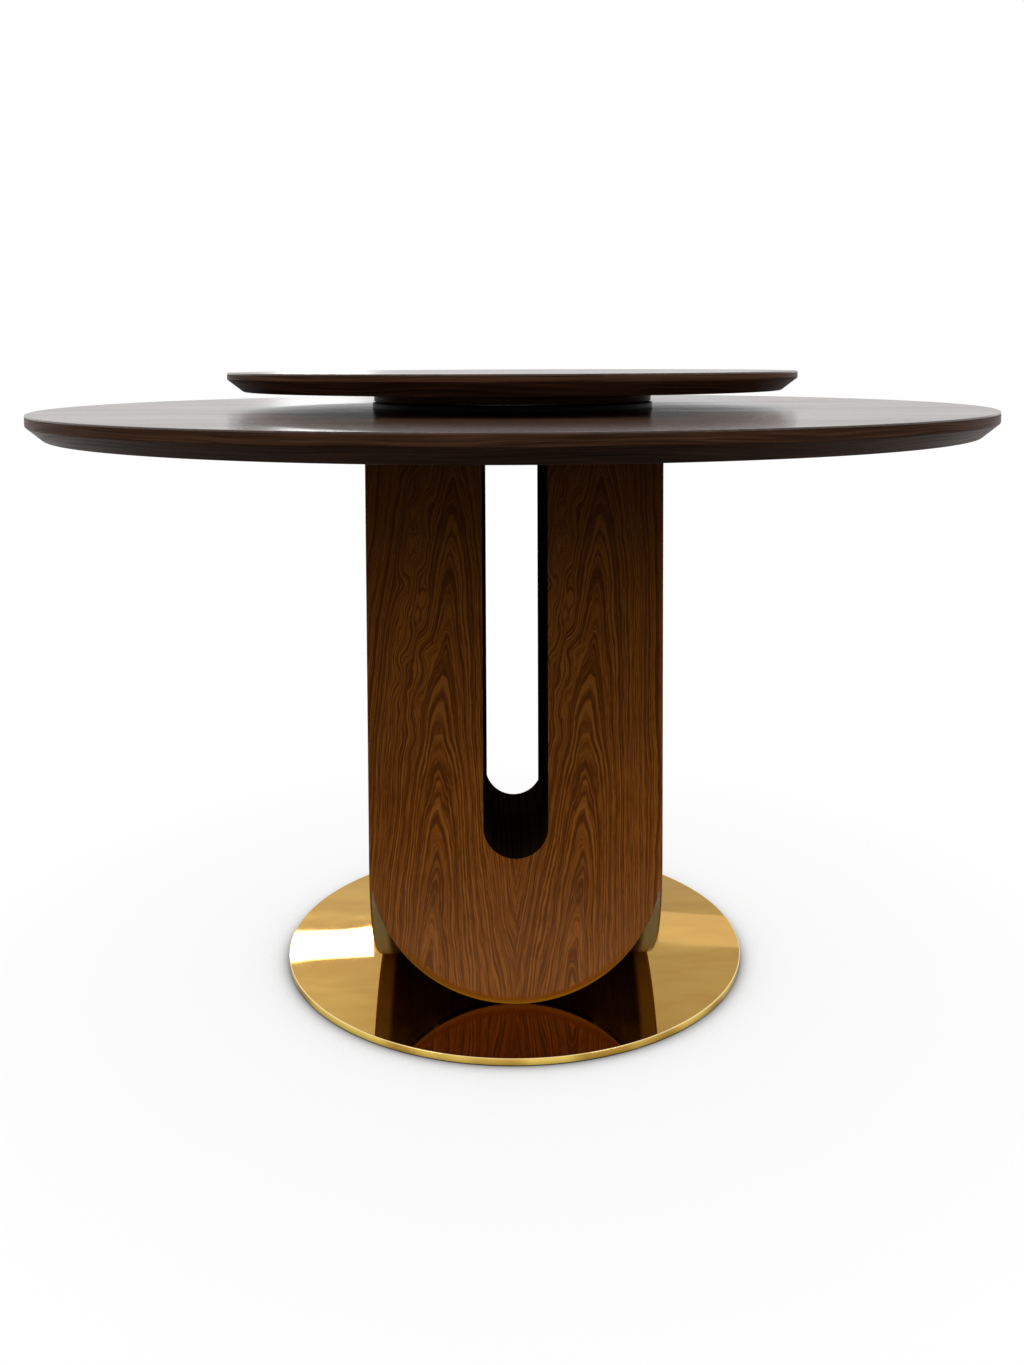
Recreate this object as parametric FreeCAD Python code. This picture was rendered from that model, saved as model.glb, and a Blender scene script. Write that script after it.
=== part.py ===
import FreeCAD, Part
import math
import os

# A round dining table on a square pedestal with rounded feet, with a lazy susan on a ball race.
# Millimetres. Z is up, the floor is z = 0, and the table's axis is x = y = 0.
# "Front" is -Y. Each side of the pedestal is drawn as the front side and then turned into place.

# Tabletop
TABLE_HEIGHT = 782.0
TOP_DIAMETER = 1300.0
TOP_THICKNESS = 32.0
TOP_RIM_HEIGHT = 14.0
TOP_CHAMFER_WIDTH = 21.0
TOP_LIPPING_WIDTH = 48.0

# Lazy susan
SUSAN_DIAMETER = 793.0
SUSAN_THICKNESS = 26.0
SUSAN_RIM_HEIGHT = 9.2
SUSAN_CHAMFER_WIDTH = 21.5
SUSAN_LIPPING_WIDTH = 44.0
PLINTH_DIAMETER = 392.0
PLINTH_THICKNESS = 15.4
SURFACE_SHEET = 2.0

# Ball race under the lazy susan
RACE_BASE_DIAMETER = 396.0
RACE_BASE_BORE = 220.0
RACE_BASE_THICKNESS = 7.0
RACE_PITCH_DIAMETER = 300.0
RACE_RING_WIDTH = 11.0
RACE_RING_GAP = 3.0
RACE_RING_HEIGHT = 10.0
BALL_DIAMETER = 6.0
BALL_COUNT = 8
BALL_CLEARANCE = 0.3
CAGE_THICKNESS = 1.2
CAGE_HEIGHT = 4.0
TURNING_GAP = 1.8

# Base plate
BASE_DIAMETER = 647.0
BASE_COVER_HEIGHT = 9.0
BASE_COVER_SKIN = 1.5
BASE_RIM_EASE = 0.9
BASE_PAD_THICKNESS = 1.0
BASE_PAD_INSET = 6.0

# Pedestal
PEDESTAL_WIDTH = 380.0
PEDESTAL_DEPTH = 400.0
FOOT_SINK = 0.5
FACE_THICKNESS = 18.0
FOOT_SKIN_THICKNESS = 12.0
SLOT_WIDTH = 82.5
SLOT_FLOOR = 195.0
REAR_SLOT_FLOOR = 125.0
LINING_THICKNESS = 12.0
ARRIS_EASE = 3.0
FOOT_EASE = 14.5
FOOT_EASE_ANGLE = 55.0
SLOT_EASE = 1.6
LEG_BLOCK_HEIGHT = 60.0
TOP_PLATE_THICKNESS = 6.0
TOP_PLATE_CLEARANCE = 1.0

# Bolts
BOLT_DIAMETER = 10.0
BOLT_HEAD_DIAMETER = 19.0
BOLT_HEAD_HEIGHT = 5.5
BASE_BOLT_REACH = 115.0
BASE_BOLT_GRIP = 62.0
TOP_BOLT_REACH = 120.0
TOP_BOLT_GRIP = 24.0
BOLT_HOLE_CLEARANCE = 0.25
PLATE_BOLT_HEAD_HEIGHT = 4.5

# Heights and half sizes that follow from the sizes above.
weight_bottom = BASE_PAD_THICKNESS
plate_top = BASE_PAD_THICKNESS + BASE_COVER_HEIGHT
weight_top = plate_top - BASE_COVER_SKIN
foot = plate_top - FOOT_SINK
top_bottom = TABLE_HEIGHT - TOP_THICKNESS
leg_top = top_bottom - TOP_PLATE_THICKNESS
half_width = PEDESTAL_WIDTH / 2
half_depth = PEDESTAL_DEPTH / 2
bend = min(half_width, half_depth)
slot_half = SLOT_WIDTH / 2
lining_half = slot_half + LINING_THICKNESS
slot_floor = plate_top + SLOT_FLOOR
rear_slot_floor = plate_top + REAR_SLOT_FLOOR
slot_spring = slot_floor + slot_half
race_base_top = TABLE_HEIGHT + RACE_BASE_THICKNESS
plinth_bottom = race_base_top + TURNING_GAP
susan_bottom = plinth_bottom + PLINTH_THICKNESS
susan_top = susan_bottom + SUSAN_THICKNESS
race_pitch = RACE_PITCH_DIAMETER / 2
ring_inner_face = race_pitch - RACE_RING_GAP / 2
ring_outer_face = race_pitch + RACE_RING_GAP / 2
fixed_ring_top = race_base_top + RACE_RING_HEIGHT
ring_shift = TURNING_GAP
ball_height = race_base_top + (RACE_RING_HEIGHT + ring_shift) / 2
FAR = PEDESTAL_WIDTH + PEDESTAL_DEPTH

os.makedirs("parts", exist_ok=True)


def vec(x, y, z=0.0):
    return FreeCAD.Vector(x, y, z)


def save(name, shape):
    shape.exportStep("parts/" + name + ".step")


def turned(shape, degrees):
    copy = shape.copy()
    copy.rotate(vec(0, 0), vec(0, 0, 1), degrees)
    return copy


def closed_face(points):
    return Part.Face(Part.makePolygon(points + [points[0]]))


def prism(plan, low, high):
    """A solid with a polygon plan between two heights."""
    return closed_face([vec(x, y, low) for x, y in plan]).extrude(vec(0, 0, high - low))


def block(x0, x1, y0, y1, z0, z1):
    return Part.makeBox(x1 - x0, y1 - y0, z1 - z0, vec(x0, y0, z0))


def rod(radius, z0, z1, x=0.0, y=0.0):
    return Part.makeCylinder(radius, z1 - z0, vec(x, y, z0))


def turned_profile(profile):
    """Revolve (radius, height) points about the table's axis."""
    return closed_face([vec(r, 0, z) for r, z in profile]).revolve(vec(0, 0), vec(0, 0, 1), 360)


def u_solid(half, radius, low, high, y0, y1):
    """A U-shaped outline, round at the bottom, drawn in X and Z and extruded from y0 to y1."""
    flat = half - radius
    middle = low + radius
    diagonal = radius * math.sqrt(0.5)
    left_arc = Part.Arc(
        vec(-half, y0, middle),
        vec(-flat - diagonal, y0, middle - diagonal),
        vec(-flat, y0, low),
    ).toShape()
    right_arc = Part.Arc(
        vec(flat, y0, low),
        vec(flat + diagonal, y0, middle - diagonal),
        vec(half, y0, middle),
    ).toShape()
    edges = [Part.makeLine(vec(-half, y0, high), vec(-half, y0, middle)), left_arc]
    if flat > 1e-6:
        edges.append(Part.makeLine(vec(-flat, y0, low), vec(flat, y0, low)))
    edges += [
        right_arc,
        Part.makeLine(vec(half, y0, middle), vec(half, y0, high)),
        Part.makeLine(vec(half, y0, high), vec(-half, y0, high)),
    ]
    return Part.Face(Part.Wire(edges)).extrude(vec(0, y1 - y0, 0))


def wedge(lead):
    """The space in front where |y| is at least |x| + lead: what lies between two mitre planes."""
    ahead = max(lead, 0.0)
    flat = max(-lead, 0.0)
    plan = [(-flat, -ahead)]
    if flat > 0:
        plan.append((flat, -ahead))
    plan += [(FAR, -FAR - lead), (-FAR, -FAR - lead)]
    return prism(plan, -1.0, TABLE_HEIGHT)


class Side:
    """One side of the pedestal, drawn as the front: its name, turn, width, reach and slot floor."""

    def __init__(self, name, degrees, half, reach, floor):
        self.name = name
        self.degrees = degrees
        self.half = half
        self.reach = reach
        self.floor = floor
        self.spring = floor + slot_half
        self.inner = reach - FACE_THICKNESS
        self.mitre = wedge(reach - half)


SIDES = [
    Side("front", 0, half_width, half_depth, slot_floor),
    Side("right", 90, half_depth, half_width, slot_floor),
    Side("rear", 180, half_width, half_depth, rear_slot_floor),
    Side("left", 270, half_depth, half_width, slot_floor),
]
slot_mitre = wedge(0.0)
above_plate = block(-FAR, FAR, -FAR, FAR, plate_top, TABLE_HEIGHT)


def arc(start, centre, radius, degrees):
    """An arc from a point, in the plane of X and Z, about a centre below or above it."""
    first = math.atan2(start.z - centre.z, start.x - centre.x)
    sweep = math.radians(degrees)
    points = [vec(centre.x + radius * math.cos(first + share * sweep), start.y,
                  centre.z + radius * math.sin(first + share * sweep)) for share in (0.5, 1)]
    return Part.Arc(start, *points).toShape(), points[1]


def face_wire(half, inset, rise, y):
    """The face's outline in the plane y. It is inset all round, and rises most under the foot."""
    flat = half - bend
    middle = foot + bend
    radius = bend - inset
    turn = math.radians(FOOT_EASE_ANGLE)
    run = radius * math.sin(turn)
    fall = middle - radius * math.cos(turn) - foot - rise
    wide = (run * run + fall * fall) / (2 * fall)
    sweep = math.degrees(math.asin(run / wide))
    shoulder = vec(-half + inset, y, middle)
    upper, joint = arc(shoulder, vec(-flat, y, middle), radius, 90 - FOOT_EASE_ANGLE)
    lower, bottom = arc(joint, vec(-flat, y, foot + rise + wide), wide, sweep)
    left = [Part.makeLine(vec(-half + inset, y, top_bottom), shoulder), upper, lower]
    right = [edge.mirror(vec(0, 0), vec(1, 0, 0)) for edge in reversed(left)]
    across = []
    if flat > 1e-6:
        across = [Part.makeLine(bottom, vec(flat, y, bottom.z))]
    lid = [Part.makeLine(vec(half - inset, y, top_bottom), vec(-half + inset, y, top_bottom))]
    return Part.Wire(left + across + right + lid)


def face_halves(side):
    """The veneered face in two leaves, its outer edge eased a little, and more under the foot."""
    front = -side.reach
    sections = [face_wire(side.half, 0, 0, -side.inner),
                face_wire(side.half, 0, 0, front + ARRIS_EASE),
                face_wire(side.half, ARRIS_EASE, FOOT_EASE, front)]
    panel = Part.makeLoft(sections, True, True)
    slot = u_solid(slot_half, slot_half, side.floor, TABLE_HEIGHT, front - 5, 0)
    panel = panel.cut(slot)
    rim = [edge for edge in panel.Edges
           if abs(edge.BoundBox.YMin - front) < 1e-4 and abs(edge.BoundBox.YMax - front) < 1e-4
           and edge.BoundBox.XMin > -slot_half - 1e-3 and edge.BoundBox.XMax < slot_half + 1e-3
           and edge.BoundBox.ZMin > side.floor - 1e-3]
    panel = panel.makeChamfer(SLOT_EASE, rim)
    panel = panel.common(side.mitre).common(above_plate)
    left = panel.common(block(-FAR, 0, -FAR, FAR, 0, TABLE_HEIGHT))
    right = panel.common(block(0, FAR, -FAR, FAR, 0, TABLE_HEIGHT))
    return left, right


def foot_skin(side):
    """The rounded underside behind the face, mitred to its neighbours along the diagonals."""
    outer = u_solid(side.half, bend, foot, top_bottom, -side.inner, 0)
    inner = u_solid(side.half - FOOT_SKIN_THICKNESS, bend - FOOT_SKIN_THICKNESS,
                    foot + FOOT_SKIN_THICKNESS, TABLE_HEIGHT, -side.inner, 0)
    skin = outer.cut(inner).common(side.mitre).common(above_plate)
    return skin.common(block(-FAR, FAR, -side.inner, 0, 0, foot + bend))


def slot_walls(side):
    """The slot's two straight linings, mitred where the two slots cross."""
    wall = block(slot_half, lining_half, -side.inner, 0, side.spring, leg_top)
    wall = wall.common(slot_mitre)
    other = wall.mirror(vec(0, 0), vec(1, 0, 0))
    return other, wall


def trough(side):
    """The slot's half-round floor."""
    end = 0.0 if side.floor == slot_floor else -slot_half
    outer = u_solid(lining_half, lining_half, side.floor - LINING_THICKNESS, leg_top,
                    -side.inner, end)
    inner = u_solid(slot_half, slot_half, side.floor, leg_top, -side.inner, end)
    return outer.cut(inner).common(slot_mitre).common(block(-FAR, FAR, -FAR, FAR, 0, side.spring))


def slot_envelope(side):
    """What the lined slot takes out of the core."""
    depth = side.inner + 5
    envelope = u_solid(lining_half, lining_half, side.floor - LINING_THICKNESS, TABLE_HEIGHT,
                       -depth, 0)
    return envelope.common(slot_mitre)


def step_block(side):
    """Between the crossing's floor and a deeper slot: a block under the crossing's floor."""
    void = u_solid(slot_half, slot_half, slot_floor, TABLE_HEIGHT, -slot_half - 5, 5)
    crossing = block(-slot_half, slot_half, -slot_half, 0, 0, slot_spring)
    return slot_envelope(side).common(crossing).cut(void)


def bolt_places(reach):
    return [(0, -reach), (reach, 0), (0, reach), (-reach, 0)]


def lower_core():
    """Laminated block that ties the skins, the faces and the troughs together."""
    across = u_solid(half_width - FOOT_SKIN_THICKNESS, bend - FOOT_SKIN_THICKNESS,
                     foot + FOOT_SKIN_THICKNESS, leg_top, -half_depth, half_depth)
    along = turned(u_solid(half_depth - FOOT_SKIN_THICKNESS, bend - FOOT_SKIN_THICKNESS,
                           foot + FOOT_SKIN_THICKNESS, leg_top, -half_width, half_width), 90)
    core = across.fuse(along).common(block(
        FACE_THICKNESS - half_width, half_width - FACE_THICKNESS,
        FACE_THICKNESS - half_depth, half_depth - FACE_THICKNESS, 0, slot_spring))
    for side in SIDES:
        core = core.cut(turned(slot_envelope(side), side.degrees))
    for x, y in bolt_places(BASE_BOLT_REACH):
        core = core.cut(rod(BOLT_DIAMETER / 2, 0, weight_bottom + BASE_BOLT_GRIP, x, y))
    return core


def base_bolt(x, y):
    shank = rod(BOLT_DIAMETER / 2, weight_bottom, weight_bottom + BASE_BOLT_GRIP, x, y)
    head = Part.makeCone(BOLT_HEAD_DIAMETER / 2, BOLT_DIAMETER / 2, BOLT_HEAD_HEIGHT,
                         vec(x, y, weight_bottom))
    return shank.fuse(head)


def base_bolt_hole(x, y):
    radius = BOLT_DIAMETER / 2 + BOLT_HOLE_CLEARANCE
    hole = rod(radius, 0, foot + FOOT_SKIN_THICKNESS + 1, x, y)
    sink = Part.makeCone(BOLT_HEAD_DIAMETER / 2 + BOLT_HOLE_CLEARANCE, radius, BOLT_HEAD_HEIGHT,
                         vec(x, y, weight_bottom))
    return hole.fuse(sink)


def drilled(shape, places):
    for x, y in places:
        shape = shape.cut(base_bolt_hole(x, y))
    return shape


def lipping(radius, low, high, rim, chamfer, width):
    """Solid edge ring: upright rim above, undercut below."""
    return turned_profile([
        (radius - width, low), (radius - chamfer, low), (radius, high - rim),
        (radius, high), (radius - width, high),
    ])


def v_groove(face, opens_out):
    """V-shaped track for the balls, cut into a ring's face."""
    root = (BALL_DIAMETER / 2 + BALL_CLEARANCE) * math.sqrt(2)
    depth = root - RACE_RING_GAP / 2
    point = face - depth if opens_out else face + depth
    return turned_profile([(point, ball_height), (face, ball_height - depth),
                           (face, ball_height + depth)])


def make_base():
    radius = BASE_DIAMETER / 2
    cover = rod(radius, weight_bottom, plate_top)
    rim_edge = [e for e in cover.Edges if e.BoundBox.ZMin > plate_top - 1e-3]
    cover = cover.makeChamfer(BASE_RIM_EASE, rim_edge)
    cover = cover.cut(rod(radius - BASE_COVER_SKIN, 0, weight_top))
    weight = rod(radius - BASE_COVER_SKIN, weight_bottom, weight_top)
    places = bolt_places(BASE_BOLT_REACH)
    save("base_cover", drilled(cover, places))
    save("base_weight", drilled(weight, places))
    save("base_pad", rod(radius - BASE_PAD_INSET, 0, weight_bottom))
    for number, (x, y) in enumerate(places, 1):
        save("base_bolt_%d" % number, base_bolt(x, y))


def make_pedestal():
    for side in SIDES:
        for hand, panel in zip(("a", "b"), face_halves(side)):
            save("face_%s_%s" % (side.name, hand), turned(panel, side.degrees))
        skin = foot_skin(side)
        for x, y in bolt_places(BASE_BOLT_REACH):
            skin = skin.cut(turned(base_bolt_hole(x, y), -side.degrees))
        save("foot_skin_" + side.name, turned(skin, side.degrees))
        for hand, wall in zip(("a", "b"), slot_walls(side)):
            save("slot_wall_%s_%s" % (side.name, hand), turned(wall, side.degrees))
        save("slot_floor_" + side.name, turned(trough(side), side.degrees))
    rear = SIDES[2]
    save("slot_step", turned(step_block(rear), rear.degrees))
    save("lower_core", lower_core())
    leg = block(lining_half, half_width - FACE_THICKNESS, lining_half,
                half_depth - FACE_THICKNESS, leg_top - LEG_BLOCK_HEIGHT, leg_top)
    for name, flip_x, flip_y in (("rear_right", 1, 1), ("rear_left", -1, 1),
                                 ("front_left", -1, -1), ("front_right", 1, -1)):
        copy = leg
        if flip_x < 0:
            copy = copy.mirror(vec(0, 0), vec(1, 0, 0))
        if flip_y < 0:
            copy = copy.mirror(vec(0, 0), vec(0, 1, 0))
        save("leg_block_" + name, copy)


def make_top():
    inset = FACE_THICKNESS + TOP_PLATE_CLEARANCE
    plate = block(inset - half_width, half_width - inset, inset - half_depth, half_depth - inset,
                  leg_top, top_bottom)
    radius = TOP_DIAMETER / 2
    sheet_bottom = TABLE_HEIGHT - SURFACE_SHEET
    core = rod(radius - TOP_LIPPING_WIDTH, top_bottom, sheet_bottom)
    bolt = BOLT_DIAMETER / 2
    for number, (x, y) in enumerate(bolt_places(TOP_BOLT_REACH), 1):
        plate = plate.cut(rod(bolt + BOLT_HOLE_CLEARANCE, leg_top, top_bottom, x, y))
        core = core.cut(rod(bolt, top_bottom, leg_top + TOP_BOLT_GRIP, x, y))
        shank = rod(bolt, leg_top, leg_top + TOP_BOLT_GRIP, x, y)
        head = rod(BOLT_HEAD_DIAMETER / 2, leg_top - PLATE_BOLT_HEAD_HEIGHT, leg_top, x, y)
        save("top_bolt_%d" % number, shank.fuse(head))
    save("top_plate", plate)
    save("tabletop_core", core)
    save("tabletop_lipping", lipping(radius, top_bottom, sheet_bottom,
                                     TOP_RIM_HEIGHT - SURFACE_SHEET, TOP_CHAMFER_WIDTH,
                                     TOP_LIPPING_WIDTH))
    save("tabletop_surface", rod(radius, sheet_bottom, TABLE_HEIGHT))


def make_race():
    base = turned_profile([
        (RACE_BASE_BORE / 2, TABLE_HEIGHT), (RACE_BASE_DIAMETER / 2, TABLE_HEIGHT),
        (RACE_BASE_DIAMETER / 2, race_base_top), (RACE_BASE_BORE / 2, race_base_top)])
    save("race_base", base)
    fixed = turned_profile([
        (ring_inner_face - RACE_RING_WIDTH, race_base_top), (ring_inner_face, race_base_top),
        (ring_inner_face, fixed_ring_top), (ring_inner_face - RACE_RING_WIDTH, fixed_ring_top)])
    save("race_ring_fixed", fixed.cut(v_groove(ring_inner_face, True)))
    low = race_base_top + ring_shift
    moving = turned_profile([
        (ring_outer_face, low), (ring_outer_face + RACE_RING_WIDTH, low),
        (ring_outer_face + RACE_RING_WIDTH, low + RACE_RING_HEIGHT),
        (ring_outer_face, low + RACE_RING_HEIGHT)])
    save("race_ring_moving", moving.cut(v_groove(ring_outer_face, False)))
    cage = turned_profile([
        (race_pitch - CAGE_THICKNESS / 2, ball_height - CAGE_HEIGHT / 2),
        (race_pitch + CAGE_THICKNESS / 2, ball_height - CAGE_HEIGHT / 2),
        (race_pitch + CAGE_THICKNESS / 2, ball_height + CAGE_HEIGHT / 2),
        (race_pitch - CAGE_THICKNESS / 2, ball_height + CAGE_HEIGHT / 2)])
    ball = Part.makeSphere(BALL_DIAMETER / 2, vec(race_pitch, 0, ball_height))
    for number in range(BALL_COUNT):
        cage = cage.fuse(turned(ball, 360 * number / BALL_COUNT))
    save("race_cage", cage)


def make_susan():
    recess = ring_outer_face + RACE_RING_WIDTH
    recess_top = race_base_top + ring_shift + RACE_RING_HEIGHT
    plinth = rod(PLINTH_DIAMETER / 2, plinth_bottom, susan_bottom)
    plinth = plinth.cut(rod(recess, plinth_bottom, recess_top))
    save("susan_plinth", plinth)
    radius = SUSAN_DIAMETER / 2
    sheet_bottom = susan_top - SURFACE_SHEET
    save("susan_core", rod(radius - SUSAN_LIPPING_WIDTH, susan_bottom, sheet_bottom))
    save("susan_lipping", lipping(radius, susan_bottom, sheet_bottom,
                                  SUSAN_RIM_HEIGHT - SURFACE_SHEET, SUSAN_CHAMFER_WIDTH,
                                  SUSAN_LIPPING_WIDTH))
    save("susan_surface", rod(radius, sheet_bottom, susan_top))


make_base()
make_pedestal()
make_top()
make_race()
make_susan()
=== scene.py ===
import math

import bmesh
import bpy
from mathutils import Matrix, Vector


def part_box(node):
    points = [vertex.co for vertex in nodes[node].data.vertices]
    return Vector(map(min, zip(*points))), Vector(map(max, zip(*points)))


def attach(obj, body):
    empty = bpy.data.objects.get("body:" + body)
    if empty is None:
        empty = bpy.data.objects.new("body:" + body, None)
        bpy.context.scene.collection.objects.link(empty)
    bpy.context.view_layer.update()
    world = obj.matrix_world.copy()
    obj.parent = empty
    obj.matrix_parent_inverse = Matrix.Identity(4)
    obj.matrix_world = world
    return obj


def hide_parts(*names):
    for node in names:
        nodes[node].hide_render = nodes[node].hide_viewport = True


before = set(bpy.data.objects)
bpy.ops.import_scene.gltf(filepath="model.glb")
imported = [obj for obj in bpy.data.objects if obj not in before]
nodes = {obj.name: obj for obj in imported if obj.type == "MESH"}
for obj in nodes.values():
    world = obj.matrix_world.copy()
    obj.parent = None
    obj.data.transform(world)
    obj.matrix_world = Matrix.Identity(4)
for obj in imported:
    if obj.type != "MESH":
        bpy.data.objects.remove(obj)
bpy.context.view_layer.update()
print("frame loaded:", len(nodes), "nodes")

scene = bpy.context.scene
scene.view_settings.view_transform = "Standard"
quarter = math.pi / 2
tiny = 1e-6


# Camera

cameraSet = {
    "place": (-0.02017, -1.78473, 0.84626),
    "turn": -0.6243,
    "tilt": 86.9923,
    "roll": -0.231,
    "lens": 44.0,
    "drop": -0.2495,
    "sensorWidth": 36.0,
    "clip": (0.05, 60.0),
}
cameraData = bpy.data.cameras.new("camera")
cameraData.sensor_fit = "HORIZONTAL"
cameraData.sensor_width = cameraSet["sensorWidth"]
cameraData.lens = cameraSet["lens"]
cameraData.shift_y = cameraSet["drop"]
cameraData.clip_start, cameraData.clip_end = cameraSet["clip"]
camera = bpy.data.objects.new("camera", cameraData)
scene.collection.objects.link(camera)
facing = (
    Matrix.Rotation(math.radians(cameraSet["turn"]), 4, "Z")
    @ Matrix.Rotation(math.radians(cameraSet["tilt"]), 4, "X")
    @ Matrix.Rotation(math.radians(cameraSet["roll"]), 4, "Z")
)
camera.matrix_world = Matrix.Translation(cameraSet["place"]) @ facing
scene.camera = camera
print("camera placed")


# Node helpers: a socket takes a plain value or another node's output

noiseMiddle = 0.5


def newMaterial(name):
    material = bpy.data.materials.new(name)
    material.use_nodes = True
    return material, material.node_tree, material.node_tree.nodes["Principled BSDF"]


def feed(tree, value, socket):
    if isinstance(value, bpy.types.NodeSocket):
        tree.links.new(value, socket)
    else:
        socket.default_value = value


def addNode(tree, kind, inputs=None, **settings):
    node = tree.nodes.new(kind)
    for key, value in settings.items():
        setattr(node, key, value)
    for key, value in (inputs or {}).items():
        feed(tree, value, node.inputs[key])
    return node


def calc(tree, operation, *values):
    node = addNode(tree, "ShaderNodeMath", dict(enumerate(values)), operation=operation)
    return node.outputs[0]


def plus(tree, first, second):
    return calc(tree, "ADD", first, second)


def minus(tree, first, second):
    return calc(tree, "SUBTRACT", first, second)


def times(tree, first, second):
    return calc(tree, "MULTIPLY", first, second)


def timesPlus(tree, first, second, added):
    return calc(tree, "MULTIPLY_ADD", first, second, added)


def larger(tree, first, second):
    return calc(tree, "MAXIMUM", first, second)


def absolute(tree, value):
    return calc(tree, "ABSOLUTE", value)


def power(tree, value, exponent):
    return calc(tree, "POWER", larger(tree, value, 0.0), exponent)


def reach(tree, first, second):
    return calc(tree, "SQRT", timesPlus(tree, first, first, times(tree, second, second)))


def centred(tree, value, amount):
    return times(tree, minus(tree, value, noiseMiddle), amount)


def spread(tree, value, low, high, start=0.0, end=1.0, soft=True):
    inputs = dict(enumerate((value, low, high, start, end)))
    node = addNode(tree, "ShaderNodeMapRange", inputs, interpolation_type="SMOOTHSTEP" if soft else "LINEAR")
    return node.outputs[0]


def noise(tree, place, scale, detail, roughness, dimensions="3D"):
    inputs = {"Scale": scale, "Detail": detail, "Roughness": roughness}
    node = addNode(tree, "ShaderNodeTexNoise", inputs, noise_dimensions=dimensions)
    feed(tree, place, node.inputs["W" if dimensions == "1D" else "Vector"])
    return node.outputs


def ramp(tree, value, places, colours):
    node = addNode(tree, "ShaderNodeValToRGB", {"Fac": value})
    band = node.color_ramp.elements
    while len(band) < len(places):
        band.new(0.5)
    for element, place, colour in zip(band, places, colours):
        element.position = place
        element.color = (*colour, 1.0)
    return node.outputs["Color"]


def blend(tree, factor, first, second):
    node = addNode(tree, "ShaderNodeMix", {0: factor}, data_type="RGBA")
    for index, value in ((6, first), (7, second)):
        feed(tree, value if isinstance(value, bpy.types.NodeSocket) else (*value, 1.0), node.inputs[index])
    return node.outputs[2]


def choose(tree, factor, first, second):
    node = addNode(tree, "ShaderNodeMix", {0: factor, 2: first, 3: second}, data_type="FLOAT")
    return node.outputs[0]


def objectPlace(tree, turn=(0, 0, 0), scale=(1, 1, 1)):
    texture = addNode(tree, "ShaderNodeTexCoord")
    inputs = {"Vector": texture.outputs["Object"], "Rotation": turn, "Scale": scale}
    return addNode(tree, "ShaderNodeMapping", inputs).outputs["Vector"]


def parts(tree, vector):
    node = addNode(tree, "ShaderNodeSeparateXYZ", {"Vector": vector})
    return node.outputs[0], node.outputs[1], node.outputs[2]


def joined(tree, *values):
    return addNode(tree, "ShaderNodeCombineXYZ", dict(enumerate(values))).outputs[0]


def relief(tree, shader, height, depth, strength):
    node = addNode(tree, "ShaderNodeBump", {"Height": height, "Distance": depth, "Strength": strength})
    feed(tree, node.outputs["Normal"], shader.inputs["Normal"])


def paint(material, *names):
    for name in names:
        nodes[name].data.materials.clear()
        nodes[name].data.materials.append(material)


# Straight-grained woods: grain along the turned z axis, slow sway and shading, fine pores

woods = {
    "foot veneer": {
        "turn": (0, 0, 0), "seed": 4.0, "roughness": (0.3, 0.36), "specular": 0.5, "spacing": 0.0028,
        "colours": ((0.05, 0.022, 0.006), (0.09, 0.04, 0.011), (0.13, 0.06, 0.017))},
    # painted shade: the slot's lining is veneer painted near-black, standing in for the shade inside the
    # slot
    "lining veneer painted dark": {
        "turn": (0, 0, 0), "seed": 6.0, "roughness": (0.45, 0.55), "specular": 0.0, "spacing": 0.0028,
        "colours": ((0.008, 0.004, 0.002), (0.02, 0.01, 0.005), (0.035, 0.018, 0.009))},
    "core timber": {
        "turn": (0, 0, 0), "seed": 2.0, "roughness": (0.36, 0.46), "specular": 0.3, "spacing": 0.0028,
        "colours": ((0.2, 0.12, 0.06), (0.33, 0.21, 0.11), (0.45, 0.3, 0.17))},
    "core board": {
        "turn": (quarter, 0, 0), "seed": 12.0, "roughness": (0.36, 0.46), "specular": 0.0, "spacing": 0.0028,
        "colours": ((0.02, 0.012, 0.008), (0.035, 0.02, 0.012), (0.05, 0.03, 0.018))},
    "rim walnut": {
        "turn": (0, quarter, 0), "seed": 5.0, "roughness": (0.3, 0.38), "specular": 0.01, "spacing": 0.0022,
        "colours": ((0.028, 0.014, 0.0075), (0.078, 0.035, 0.0185), (0.13, 0.06, 0.032))},
    # painted light: the plinth is rim walnut painted 1.6 times lighter, against the shade under the susan
    "plinth walnut painted lighter": {
        "turn": (0, quarter, 0), "seed": 9.0, "roughness": (0.3, 0.38), "specular": 0.01, "spacing": 0.0022,
        "colours": ((0.0448, 0.0224, 0.012), (0.1248, 0.056, 0.0296), (0.208, 0.096, 0.0512))},
    "top walnut": {
        "turn": (0, 0, quarter), "seed": 15.0, "roughness": (0.18, 0.25), "specular": 0.45, "spacing": 0.003,
        "colours": ((0.022, 0.011, 0.007), (0.055, 0.026, 0.015), (0.095, 0.048, 0.028))},
}
grainLook = {
    "slowNoise": (11.0, 2.0, 0.5),
    "slowStretch": 0.25,
    "poreNoise": (1500.0, 1.0, 0.5),
    "poreStretch": 0.04,
    "poreEdge": (0.66, 0.74),
    "poreShare": 0.5,
    "lineDetail": (2.0, 0.5),
    "lineStretch": 0.02,
    "sway": 0.03,
    "shade": 0.4,
    "stops": (0.28, 0.5, 0.74),
    "toneReach": (0.3, 0.7),
    "relief": (0.0002, 0.5),
}


def grainNoise(tree, across, deep, along, stretch, settings):
    place = joined(tree, across, times(tree, deep, stretch), times(tree, along, stretch))
    return noise(tree, place, *settings)["Fac"]


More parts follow.
